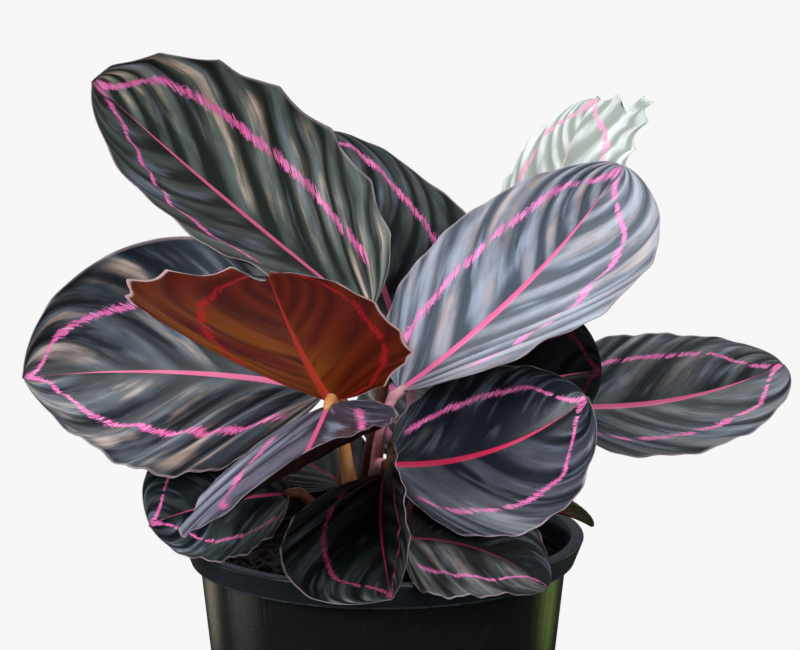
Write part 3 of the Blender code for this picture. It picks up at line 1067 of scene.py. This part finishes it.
LEAVES = [
    Leaf(
        "high_left",
        Blade(
            189, 39, 0.155, 0.075, 0.058, arch=4, sweep=19, roll=-13, twist=-49, fold_left=11, fold_right=4,
            curl_left=10, curl_right=30, lean=0.64, fullness=0.52, scallops=7.66, scallop_right=0.0032,
            scallop_shift=-0.2, pleats=7.2, pleat=0.0007, ruffle=0.0008,
        ),
        Stalk((-0.011, 0.022)),
        UpperFinish(
            seed=1.0, dark=(0.015, 0.021, 0.015), band=(0.155, 0.190, 0.158), buff=(0.1, 1.0),
            peach=(0.85, 0.62, 0.47), ring_at=(0.70, 0.61), ring_close=(0.64, 0.85), ring_from=(0.40, 0.04),
            tone=(0.45, 1.0), grain=0.22, midrib_width=3.6,
        ),
    ),
    Leaf(
        "high_back",
        Blade(
            136, 72, 0.119, 0.058, 0.063, arch=-8, sweep=39, roll=-25, twist=11, fold_left=12,
            fold_right=12, curl_right=-3, lean=0.65, fullness=0.53, pleats=7,
        ),
        Stalk((0.004, 0.027)),
        UpperFinish(
            seed=2.0, dark=(0.007, 0.011, 0.010), band=(0.075, 0.090, 0.085), buff=(0.1, 0.1),
            ring_at=(0.58, 0.58), ring_close=(0.9, 0.9), grain=0.25, midrib_width=3.4,
        ),
        stem_finish=PINK_STALK,
    ),
    Leaf(
        "wide_left",
        Blade(
            167, 9, 0.130, 0.064, 0.066, arch=-13, sweep=27, roll=-36, twist=11, fold_left=4,
            fold_right=-11, curl_left=-3, curl_right=34, lean=1.05, fullness=0.67, waves=5, pleats=5.2,
            pleat=0.0013, ruffle=0.0013,
        ),
        Stalk((-0.020, 0.014)),
        UpperFinish(
            seed=3.0, dark=(0.011, 0.014, 0.020), buff=(0.6, 0.6), tone=(1.0, 0.95),
            peach=(0.80, 0.58, 0.45), ring_close=(0.79, 0.87), midrib_width=3.9, glints=0.3, grain=0.18,
            roughness=0.34,
        ),
    ),
    Leaf(
        "turned",
        Blade(
            -101, 28, 0.130, 0.038, 0.075, arch=7, sweep=3, roll=6, twist=9, fold_left=17, fold_right=14,
            curl_left=-14, curl_right=12, fullness=0.62, scallops=7, scallop_left=0.0025,
            scallop_right=0.0045, scallop_shift=-0.365, corner=0.0065, pleats=6, pleat=0.0004,
            ruffle=0.0003,
        ),
        Stalk((-0.010, 0.000)),
        UpperFinish(seed=4.0),
        # painted light: the underside's colours, ring and margin are brightened and it glows, for the light
        # that comes through it from behind
        UnderFinish(
            deep=(0.068, 0.0062, 0.002), tone=(0.165, 0.019, 0.003), glow=(0.31, 0.093, 0.004),
            glow_at=(0.35, -0.4), glowing=0.9, light=0.55, ring=(0.60, 0.010, 0.022), ring_at=(0.78, 0.52),
            ring_strength=0.6, midrib=(0.46, 0.035, 0.020), margin=(0.70, 0.45, 0.44), seed=4.0,
        ),
        AMBER_STALK,
    ),
    Leaf(
        "folded_front",
        Blade(
            -107, -30, 0.105, 0.040, 0.053, arch=61, sweep=25, roll=24, twist=7, fold_left=1, fold_right=5,
            curl_left=-2, curl_right=-7, pleats=3, pleat=0.0004,
        ),
        Stalk((-0.012, -0.012)),
        # painted sheen: dark and band are painted pale grey-lilac, a reflection, with strong glints; tone
        # paints the left half darker than the right
        UpperFinish(
            seed=5.0, dark=(0.045, 0.045, 0.065), band=(0.20, 0.20, 0.27), buff=(0.0, 0.0), glints=0.8,
            tone=(0.2, 1.5), grain=0.15, roughness=0.25,
        ),
        UnderFinish(deep=(0.022, 0.004, 0.005), tone=(0.060, 0.012, 0.014), ring_strength=0.1),
        AMBER_STALK,
    ),
    Leaf(
        "high_right",
        Blade(
            31, 28, 0.163, 0.043, 0.0555, arch=8, sweep=25, roll=18, twist=18, fold_left=13, fold_right=21,
            curl_left=-3, curl_right=7, lean=0.77, fullness=0.72, pleats=7, pleat=0.0010, ruffle=0.0010,
        ),
        Stalk((-0.004, -0.005)),
        # painted reflection: dark, band and ring are painted pale grey-lavender, the sky reflected on this
        # up-turned leaf, with strong glints
        UpperFinish(
            seed=6.0, dark=(0.075, 0.090, 0.115), band=(0.40, 0.41, 0.47), buff=(0.9, 0.5), glints=0.9,
            ring_at=(0.60, 0.60), ring_close=(0.80, 0.68), ring_width=3.0, ring=(1.0, 0.24, 0.58),
            ring_pale=(1.0, 0.52, 0.84), ring_gaps=0.42, midrib_width=3.2, grain=0.35,
        ),
        stem_finish=PINK_STALK,
    ),
    Leaf(
        "front_right",
        Blade(
            16, -7, 0.088, 0.041, 0.045, arch=50, sweep=-22, roll=52, twist=5, fold_left=-3, fold_right=3,
            curl_left=-9, curl_right=17, lean=1.0, pleats=3, pleat=0.0004,
        ),
        Stalk((0.007, -0.016)),
        # painted light and shade: tone paints the bands of the right half bright, as lit, and the left half
        # dark, as in shade
        UpperFinish(
            seed=7.0, dark=(0.010, 0.011, 0.017), band=(0.052, 0.056, 0.078), midrib=(0.80, 0.025, 0.11),
            ring_at=(0.61, 0.63), ring_close=(0.76, 0.70), ring_width=2.7, ring_gaps=0.40, buff=(0.0, 0.0),
            glints=0.3, tone=(0.2, 3.0), grain=0.08,
        ),
        stem_finish=PINK_STALK,
    ),
    Leaf(
        "far_right",
        Blade(
            11, -6, 0.110, 0.038, 0.038, arch=26, sweep=13, roll=40, twist=-3, fold_left=9, fold_right=11,
            curl_left=-5, curl_right=4, lean=0.71, pleats=4.5, pleat=0.0004,
        ),
        Stalk((0.019, 0.006)),
        UpperFinish(
            seed=8.0, dark=(0.018, 0.022, 0.025), band=(0.100, 0.110, 0.120), buff=(0.2, 0.1),
            ring_at=(0.63, 0.63), ring_close=(0.70, 0.76), ring_width=2.4, ring_gaps=0.44, grain=0.3,
            midrib_width=3.0,
        ),
        stem_finish=BROWN_STALK,
    ),
    Leaf(
        "pale_back",
        Blade(
            30, 96, 0.113, 0.046, 0.038, arch=-42, roll=15, crest_right=0.022, fold_left=0, fold_right=3,
            curl_left=-18, curl_right=-10, lean=0.90, frill=0.004, crown=0.009, ruffle=0.0012,
        ),
        Stalk((0.016, 0.022)),
        # painted light: the upper side is painted near white, the light that glares off this leaf
        UpperFinish(
            seed=9.0, dark=(0.36, 0.40, 0.33), band=(0.92, 0.94, 0.88), buff=(0.0, 0.0),
            ring=(1.0, 0.36, 0.56), ring_pale=(1.0, 0.62, 0.76), midrib=(0.80, 0.55, 0.56),
            margin=(0.62, 0.70, 0.52), ring_from=(0.08, 0.55),
        ),
        slot=Slot.PALE,
    ),
    Leaf(
        "shaded_right",
        Blade(
            -8, 30, 0.060, 0.041, 0.038, arch=-24, sweep=-2, roll=46, fold_left=11, curl_left=-1,
            curl_right=-5, pleats=4, pleat=0.0003,
        ),
        Stalk((0.011, 0.013)),
        # painted shade: this leaf lies in the shade of the others, so its bands and ring are painted near
        # black
        UpperFinish(
            seed=10.0, dark=(0.003, 0.004, 0.005), band=(0.012, 0.014, 0.017), buff=(0.0, 0.0), glints=0.0,
            ring=(0.10, 0.01, 0.03), ring_pale=(0.12, 0.02, 0.05), grain=0.15,
        ),
    ),
    Leaf(
        "low_left",
        Blade(
            182, -3, 0.059, 0.039, 0.037, arch=-15, sweep=15, roll=-35, twist=-6, fold_left=7, fold_right=7,
            curl_left=11, curl_right=-1, lean=0.93, fullness=0.50, pleats=3.5, pleat=0.0004,
        ),
        Stalk((-0.022, -0.008)),
        UpperFinish(
            seed=11.0, band=(0.030, 0.044, 0.044), ring_close=(0.60, 0.72), ring_width=2.2, ring_gaps=0.42,
            buff=(0.1, 0.1), grain=0.2, midrib=(0.60, 0.07, 0.20), midrib_width=1.7,
        ),
    ),
    Leaf(
        "low_front",
        Blade(
            -100, -32, 0.060, 0.038, 0.041, arch=-16, sweep=29, roll=45, twist=5, fold_left=28,
            fold_right=23, curl_left=7, curl_right=3, lean=0.92, fullness=0.44, pleats=4, pleat=0.0004,
        ),
        Stalk((-0.007, -0.028)),
        UpperFinish(
            seed=12.0, dark=(0.004, 0.005, 0.005), band=(0.018, 0.022, 0.020), ring=(0.36, 0.035, 0.13),
            ring_pale=(0.55, 0.10, 0.26), midrib=(0.62, 0.03, 0.10), ring_at=(0.60, 0.57),
            ring_close=(0.7, 0.75), ring_width=2.0, ring_gaps=0.40, midrib_width=1.8, buff=(0.0, 0.0),
            glints=0.15, grain=0.15,
        ),
    ),
    Leaf(
        "low_right",
        Blade(
            -7, 3, 0.060, 0.034, 0.037, arch=-40, sweep=-4, roll=31, twist=-24, fold_right=7, curl_left=-1,
            curl_right=-2, lean=0.79, pleats=3.2, pleat=0.0004,
        ),
        Stalk((0.004, -0.033)),
        # painted light and shade: tone paints the left, upper half dark and the right, lower half bright,
        # and the midrib is painted dim, as in shade; ring_to stops the ring early on the left half
        UpperFinish(
            seed=13.0, dark=(0.010, 0.011, 0.011), band=(0.055, 0.055, 0.055), ring_at=(0.60, 0.60),
            ring_close=(0.7, 0.62), ring_to=(0.45, 1.0), ring_width=2.2, buff=(0.0, 0.15), tone=(0.1, 2.2),
            grain=0.2, midrib=(0.22, 0.03, 0.07), midrib_width=1.4, roughness=0.42,
        ),
    ),
    Leaf(
        "back_left",
        Blade(138, 16, 0.105, 0.038, 0.038, arch=-15, roll=-8),
        Stalk((-0.014, 0.030)),
        # painted shade: ring and midrib are painted near black, and the bands nearly so, as for a leaf in
        # shade at the back
        UpperFinish(
            seed=14.0, dark=(0.002, 0.002, 0.002), band=(0.008, 0.010, 0.010), buff=(0.0, 0.0), glints=0.0,
            ring=(0.10, 0.01, 0.03), ring_pale=(0.12, 0.02, 0.05), midrib=(0.10, 0.01, 0.03), roughness=0.8,
        ),
    ),
    Leaf(
        "back_centre",
        Blade(77, 38, 0.098, 0.038, 0.038, arch=-30),
        Stalk((0.016, 0.036)),
        UpperFinish(seed=15.0, dark=(0.003, 0.004, 0.004), band=(0.014, 0.018, 0.020), roughness=0.6),
    ),
    Leaf(
        "back_right",
        Blade(38, 18, 0.100, 0.034, 0.034, arch=-25, roll=10),
        Stalk((0.024, 0.018)),
        UpperFinish(seed=16.0, dark=(0.003, 0.004, 0.004), band=(0.014, 0.018, 0.020)),
    ),
    Leaf(
        "sprig",
        Blade(
            2, 10, 0.040, 0.006, 0.006, arch=-45, sweep=10, fold_left=55, fold_right=55, curl_left=10,
            curl_right=10, lean=0.9, fullness=0.6, pleat=0.0002, ruffle=0.0002,
        ),
        Stalk((0.018, -0.010)),
        UpperFinish(
            seed=17.0, dark=(0.035, 0.045, 0.012), band=(0.09, 0.11, 0.03), midrib_width=0.5,
            ring_width=0.0,
        ),
        UnderFinish(deep=(0.035, 0.035, 0.012), tone=(0.085, 0.080, 0.028), ring_strength=0.0),
        slot=Slot.YOUNG,
        stem_finish=BROWN_STALK,
    ),
]


# ---------------------------------------------------------------------------------------------
# Pot and soil
# ---------------------------------------------------------------------------------------------


def arc(centre: Pair, radius: float, start: float, end: float, steps: int = 6) -> list:
    """Points (r, z) of an arc about the centre, from angle start to angle end."""
    angles = np.radians(np.linspace(start, end, steps))
    return list(zip(centre[0] + radius * np.cos(angles), centre[1] + radius * np.sin(angles)))


def turned(name: str, profile: np.ndarray, sides: int) -> bpy.types.Mesh:
    """A section turned about the vertical axis: r cos and r sin of the angle, and z.

    Args:
        name: the mesh's name.
        profile: points (r, z) whose first and last lie off the axis; both ends are capped flat.
        sides: steps round the axis.

    Returns:
        The mesh.
    """
    angle = np.linspace(0, 2 * np.pi, sides, endpoint=False)
    r, z = profile[:, :1], profile[:, 1:]
    height = np.broadcast_to(z, (len(profile), sides))
    points = np.stack([r * np.cos(angle), r * np.sin(angle), height], axis=-1)
    faces = grid_faces(len(profile), sides, wrap=True).tolist()
    last = (len(profile) - 1) * sides
    faces += [list(range(sides)), list(range(last, last + sides))[::-1]]
    return new_mesh(name, points.reshape(-1, 3), faces)


@dataclass(frozen=True)
class Pot:
    """The nursery pot: a tapered thin wall with a lip and a short skirt, all edges rounded.

    pole is the radius at which the section starts and ends, next to the axis. soft rounds the small
    corners, and groove_width is the step between the wall and the skirt.
    """

    rim_depth: float = 0.0107
    lip_width: float = 0.0055
    lip_thickness: float = 0.004
    lip_round: float = 0.0009
    skirt_thickness: float = 0.0018
    skirt_taper: float = 0.0035
    body_top_radius: float = 0.0787
    base_radius: float = 0.0647
    base_round: float = 0.003
    floor_round: float = 0.002
    soft: float = 0.0008
    groove_width: float = 0.0005
    pole: float = 0.0005
    wall: float = 0.0016
    floor: float = 0.002
    sides: int = 160
    finish: PlasticFinish = field(default_factory=PlasticFinish)

    def body(self, z: float, height: float) -> float:
        """Radius of the tapered wall's outside at height z."""
        return self.base_radius + (self.body_top_radius - self.base_radius) * z / height

    def profile(self, height: float, rim: float) -> np.ndarray:
        """Section of the pot, up its inside and down its outside.

        Args:
            height: the pot's height.
            rim: the radius of its rim.

        Returns:
            Points (r, z).
        """
        groove = height - self.lip_thickness
        inner_top = groove - self.wall / 2
        foot = height - self.rim_depth
        skirt = rim - self.skirt_thickness
        small = self.skirt_thickness * 0.4
        inside = self.body(self.floor, height) - self.wall
        points = [(self.pole, self.floor), (inside - self.floor_round, self.floor)]
        points += [(inside, self.floor + self.floor_round)]
        points += [(self.body(inner_top, height) - self.wall, inner_top)]
        points += arc((rim - self.lip_width + self.soft, height - self.soft), self.soft, 150, 90, 4)
        points += arc((rim - self.lip_round, height - self.lip_round), self.lip_round, 90, 0)
        points += arc((rim - self.skirt_taper - small, foot + small), small, 0, -90, 4)
        points += arc((skirt - self.skirt_taper + small, foot + small), small, -90, -180, 4)
        outside = self.body(groove, height)
        points += [(skirt, groove), (outside + self.groove_width, groove), (outside, groove - self.soft)]
        points += [(self.body(height / 2, height), height / 2)]
        points += arc((self.base_radius - self.base_round, self.base_round), self.base_round, 0, -90)
        return np.array([*points, (self.pole, 0.0)])

    def dress(self) -> None:
        """Builds the pot over the frame's node, to the node's own height and width."""
        low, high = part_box("nursery_pot")
        rim = (high.x - low.x) / 2
        mesh = turned("pot", self.profile(high.z - low.z, rim), self.sides)
        pot = add_piece(mesh, [self.finish.material("black_plastic")], ["nursery_pot"])
        pot.modifiers.new("edges", "WEIGHTED_NORMAL").keep_sharp = True


@dataclass(frozen=True)
class Soil:
    """The potting soil: an uneven crumbly bed with loose crumbs on it.

    swell is the height of its unevenness, sunk how far its middle height lies under the soil's top,
    as a share of the swell, and clear how far the crumbs and the bottom stay from the pot.
    """

    rings: int = 60
    sides: int = 200
    swell: float = 0.0022
    sunk: float = 0.9
    crumbs: int = 900
    crumb_size: Pair = (0.0008, 0.0026)
    crumb_stretch: Pair = (0.55, 1.3)
    crumb_jitter: float = 0.25
    clear: Pair = (0.004, 0.002)
    finish: SoilFinish = field(default_factory=SoilFinish)

    def height(self, x: np.ndarray, y: np.ndarray) -> np.ndarray:
        """Unevenness of the bed, from about minus one to one: a sum of crossed sine waves."""
        rng = np.random.default_rng(5)
        total = np.zeros_like(x)
        for scale in (90, 160, 280, 520, 900):
            angle, shift = rng.uniform(0, 2 * np.pi, 2)
            other = angle + rng.uniform(1.1, 2.0)
            first = np.sin(scale * (x * math.cos(angle) + y * math.sin(angle)) + shift)
            second = np.sin(1.3 * scale * (x * math.cos(other) + y * math.sin(other)) + 2 * shift)
            total = total + first * second * (90 / scale) ** 0.45
        return total / 2

    def bed(self, radius: float, base_radius: float, low: float, top: float) -> bpy.types.Mesh:
        """The bed: the uneven top as rings of points, and a plain wall and bottom under it.

        Args:
            radius: radius at the top.
            base_radius: radius at the bottom.
            low: height of the bottom.
            top: height of the top.

        Returns:
            The mesh.
        """
        share = np.linspace(0.004, 1, self.rings)[:, None]
        angle = np.linspace(0, 2 * np.pi, self.sides, endpoint=False)
        x, y = radius * share * np.cos(angle), radius * share * np.sin(angle)
        z = top - self.swell * self.sunk + self.swell * self.height(x, y) * (1 - 0.6 * share**8)
        surface = np.stack([x, y, np.minimum(z, top + self.swell)], axis=-1)
        foot = [base_radius * np.cos(angle), base_radius * np.sin(angle), np.full(self.sides, low)]
        points = np.vstack([surface.reshape(-1, 3), np.stack(foot, axis=-1)])
        faces = grid_faces(self.rings + 1, self.sides, wrap=True).tolist()
        last = self.rings * self.sides
        faces += [list(range(self.sides)), list(range(last, last + self.sides))[::-1]]
        return new_mesh("soil_bed", points, faces)

    def loose_crumbs(self, radius: float, top: float) -> bpy.types.Mesh:
        """Hundreds of lumps strewn on the bed, each a jittered, squashed icosahedron.

        Args:
            radius: radius of the bed.
            top: height of the bed.

        Returns:
            One mesh of all the lumps.
        """
        rng = np.random.default_rng(11)
        gold = (1 + math.sqrt(5)) / 2
        corners = np.array(
            [(-1, gold, 0), (1, gold, 0), (-1, -gold, 0), (1, -gold, 0), (0, -1, gold), (0, 1, gold),
             (0, -1, -gold), (0, 1, -gold), (gold, 0, -1), (gold, 0, 1), (-gold, 0, -1), (-gold, 0, 1)]
        ) / math.hypot(1, gold)
        sides = np.array(
            [(0, 11, 5), (0, 5, 1), (0, 1, 7), (0, 7, 10), (0, 10, 11), (1, 5, 9), (5, 11, 4),
             (11, 10, 2), (10, 7, 6), (7, 1, 8), (3, 9, 4), (3, 4, 2), (3, 2, 6), (3, 6, 8), (3, 8, 9),
             (4, 9, 5), (2, 4, 11), (6, 2, 10), (8, 6, 7), (9, 8, 1)]
        )
        count = self.crumbs
        spread = np.sqrt(rng.uniform(0, 1, count)) * (radius - self.clear[0])
        angle = rng.uniform(0, 2 * np.pi, count)
        x, y = spread * np.cos(angle), spread * np.sin(angle)
        z = top - self.swell * self.sunk + self.swell * self.height(x, y)
        size = rng.uniform(*self.crumb_size, count)
        stretch = rng.uniform(*self.crumb_stretch, (count, 1, 3)) * size[:, None, None]
        jitter = 1 + rng.uniform(-self.crumb_jitter, self.crumb_jitter, (count, len(corners), 1))
        turn = rng.uniform(0, 2 * np.pi, count)
        lumps = corners[None] * jitter * stretch
        cos, sin = np.cos(turn)[:, None], np.sin(turn)[:, None]
        turned_x = cos * lumps[:, :, 0] - sin * lumps[:, :, 1]
        turned_y = sin * lumps[:, :, 0] + cos * lumps[:, :, 1]
        points = np.stack([turned_x + x[:, None], turned_y + y[:, None], lumps[:, :, 2] + z[:, None]], -1)
        faces = (sides[None] + len(corners) * np.arange(count)[:, None, None]).reshape(-1, 3)
        return new_mesh("soil_crumbs", points.reshape(-1, 3), faces.tolist())

    def dress(self, pot: Pot) -> float:
        """Builds the soil over the frame's node.

        Args:
            pot: the pot, for its inner shape.

        Returns:
            The height of the soil.
        """
        low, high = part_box("soil")
        radius = (high.x - low.x) / 2
        finish = self.finish.material("peat")
        gap = self.clear[1]
        bed = self.bed(radius, pot.base_radius - pot.wall - gap, low.z + gap, high.z)
        add_piece(bed, [finish], ["soil"])
        add_piece(self.loose_crumbs(radius, high.z), [finish], [])
        return high.z


# ---------------------------------------------------------------------------------------------
# Studio
# ---------------------------------------------------------------------------------------------


@dataclass(frozen=True)
class SoftBox:
    """One square soft light, aimed at the plant."""

    name: str
    place: Place
    size: float
    power: float
    colour: Colour
    aim: Place = (0.0, 0.0, 0.2)

    def light(self) -> None:
        """Adds the light."""
        lamp = bpy.data.lights.new(self.name, "AREA")
        lamp.size = self.size
        lamp.energy = self.power
        lamp.color = self.colour
        obj = linked(self.name, lamp)
        obj.location = self.place
        away = Vector(self.place) - Vector(self.aim)
        obj.rotation_euler = away.to_track_quat("Z", "Y").to_euler()
        obj.visible_camera = False


@dataclass(frozen=True)
class Studio:
    """A pale floor that runs to a pale surround, soft lights and the camera.

    Floor and surround give off their own even light, and only the camera sees them. The floor lies
    floor_gap under the pot, so that no two faces meet.
    """

    pale: Colour = (0.930, 0.930, 0.930)
    floor_radius: float = 90.0
    floor_gap: float = 0.0002
    surround_radius: float = 95.0
    surround_rise: Pair = (-4.0, 88.0)
    sides: int = 64
    rings: int = 20
    boxes: tuple[SoftBox, ...] = (
        SoftBox("overhead", (-0.25, 0.75, 1.5), 1.5, 15.0, (0.93, 0.97, 1.0)),
        SoftBox("window", (-1.2, -1.2, 1.2), 0.9, 31.0, (0.90, 0.95, 1.0)),
        SoftBox("fill", (1.1, -1.6, 0.9), 1.2, 18.0, (0.97, 0.98, 1.0)),
        SoftBox("green_bounce", (0.72, 0.56, -0.08), 0.35, 0.36, (0.55, 0.80, 0.20)),
        SoftBox("warm_bounce", (-0.62, 0.66, -0.08), 0.30, 0.22, (1.0, 0.86, 0.66)),
        SoftBox("pale_bounce", (-0.95, 0.10, -0.10), 0.40, 0.40, (1.0, 0.97, 0.93)),
        SoftBox("front_bounce", (-0.80, -0.60, -0.10), 0.30, 0.10, (0.90, 0.95, 1.0)),
    )
    camera_place: Place = (0.0072, -0.8753, 0.3630)
    camera_tilt: float = 81.0
    lens: float = 95.3
    sky: Colour = (0.24, 0.26, 0.30)
    ground: Colour = (0.02, 0.02, 0.02)

    def stage(self, mesh: bpy.types.Mesh) -> None:
        """Links a floor or surround that glows evenly and lights nothing."""
        p = Painter("pale_" + mesh.name)
        p.set("Base Color", (0.0, 0.0, 0.0))
        p.set("Roughness", 1.0)
        p.set("Specular IOR Level", 0.0)
        p.set("Emission Color", self.pale)
        p.set("Emission Strength", 1.0)
        mesh.materials.append(p.material)
        obj = linked(mesh.name, mesh)
        obj.visible_diffuse = False
        obj.visible_glossy = False
        obj.visible_shadow = False

    def room(self) -> None:
        """Adds the floor, a flat disc, and the surround, a dome of rings with height r sin(lift)."""
        angle = np.linspace(0, 2 * np.pi, self.sides, endpoint=False)
        x, y = np.cos(angle), np.sin(angle)
        level = np.full(self.sides, -self.floor_gap)
        disc = np.stack([self.floor_radius * x, self.floor_radius * y, level], axis=-1)
        self.stage(new_mesh("floor", disc, [list(range(self.sides))]))
        lift = np.radians(np.linspace(*self.surround_rise, self.rings))[:, None]
        dome = np.stack(np.broadcast_arrays(np.cos(lift) * x, np.cos(lift) * y, np.sin(lift)), axis=-1)
        faces = grid_faces(self.rings, self.sides, wrap=True).tolist()
        self.stage(new_mesh("surround", self.surround_radius * dome.reshape(-1, 3), faces))

    def camera(self) -> None:
        """Adds the camera and makes it the scene's."""
        camera = bpy.data.cameras.new("camera")
        camera.lens = self.lens
        camera.sensor_width = 36.0
        camera.clip_start, camera.clip_end = 0.01, 300.0
        holder = linked("camera", camera)
        holder.location = self.camera_place
        holder.rotation_euler = (math.radians(self.camera_tilt), 0, 0)
        bpy.context.scene.camera = holder

    def build(self) -> None:
        """Adds the floor, surround, lights, sky and camera."""
        self.room()
        for box in self.boxes:
            box.light()
        self.sky_light()
        self.camera()
        bpy.context.scene.view_settings.view_transform = "Standard"

    def sky_light(self) -> None:
        """Even light that is stronger from above than from below."""
        world = bpy.data.worlds.new("sky")
        world.use_nodes = True
        bpy.context.scene.world = world
        tree = world.node_tree
        kinds = ("TexCoord", "SeparateXYZ", "MapRange", "Mix")
        place, parts, share, mix = (tree.nodes.new("ShaderNode" + kind) for kind in kinds)
        mix.data_type = "RGBA"
        share.inputs["From Min"].default_value = -0.25
        share.inputs["From Max"].default_value = 0.5
        mix.inputs[6].default_value = (*self.ground, 1)
        mix.inputs[7].default_value = (*self.sky, 1)
        tree.links.new(place.outputs["Generated"], parts.inputs[0])
        tree.links.new(parts.outputs[2], share.inputs["Value"])
        tree.links.new(share.outputs[0], mix.inputs[0])
        tree.links.new(mix.outputs[2], tree.nodes["Background"].inputs["Color"])


def main() -> None:
    """Builds the plant over the frame, and the studio round it."""
    logging.basicConfig(level=logging.INFO, format="%(name)s %(message)s")
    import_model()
    pot = Pot()
    pot.dress()
    soil_top = Soil().dress(pot)
    for leaf in LEAVES:
        leaf.dress(soil_top)
    Studio().build()


if __name__ == "__main__":
    main()
